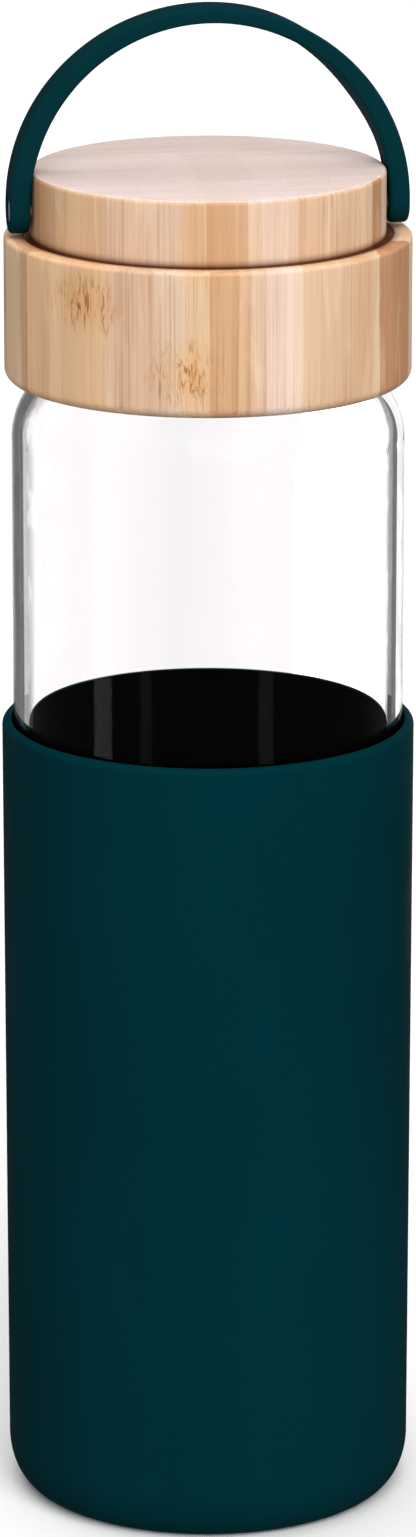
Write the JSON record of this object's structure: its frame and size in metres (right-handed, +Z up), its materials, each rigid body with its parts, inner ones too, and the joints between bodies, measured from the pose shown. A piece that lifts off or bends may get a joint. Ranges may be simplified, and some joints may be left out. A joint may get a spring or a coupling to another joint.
{
  "type": "glass water bottle",
  "caption": "Straight glass bottle in a silicone sleeve, with a screw-on bamboo cap and a silicone carry strap that swings over the cap.",
  "frame": {"origin": "on the bottle's axis, at the underside of the sleeve, where the bottle stands", "axes": "+Z up along the bottle's axis; X through the strap's two screws; the front faces -Y"},
  "size_m": [0.0698, 0.0698, 0.2582],
  "materials": {
    "sleeve_silicone": "smooth matte silicone, dark teal",
    "clear_glass": "clear polished borosilicate glass",
    "seal_silicone": "translucent white food-grade silicone",
    "liner_plastic": "satin moulded white polypropylene",
    "bamboo": "laminated bamboo, sanded and clear-oiled",
    "strap_silicone": "smooth matte silicone, dark teal",
    "screw_steel": "brushed stainless steel"
  },
  "bodies": {
    "sleeve": {"silicone_sleeve": "sleeve_silicone"},
    "bottle": {"glass_bottle": "clear_glass"},
    "seal": {"seal_ring": "seal_silicone"},
    "lid": {"thread_liner": "liner_plastic", "bamboo_cap": "bamboo", "strap_screw_left": "screw_steel", "strap_screw_right": "screw_steel"},
    "strap": {"carry_strap": "strap_silicone"}
  },
  "joints": [
    {"name": "bottle_lift", "type": "slide", "parent": "sleeve", "child": "bottle", "axis": [0, 0, 1], "range_m": [0, 0.14]},
    {"name": "lid_lift", "type": "slide", "parent": "bottle", "child": "seal", "axis": [0, 0, 1], "range_m": [0, 0.0201]},
    {"name": "lid_turn", "type": "hinge", "parent": "seal", "child": "lid", "pos_m": [0, 0, 0.2058], "axis": [0, 0, 1], "range_deg": [0, 1800]},
    {"name": "strap_swing", "type": "hinge", "parent": "lid", "child": "strap", "pos_m": [0, 0, 0.2245], "axis": [1, 0, 0], "range_deg": [-90, 90]}
  ],
  "couplings": [
    {"joint": "lid_lift", "follows": "lid_turn", "m_per_rad": 0.00063662}
  ]
}
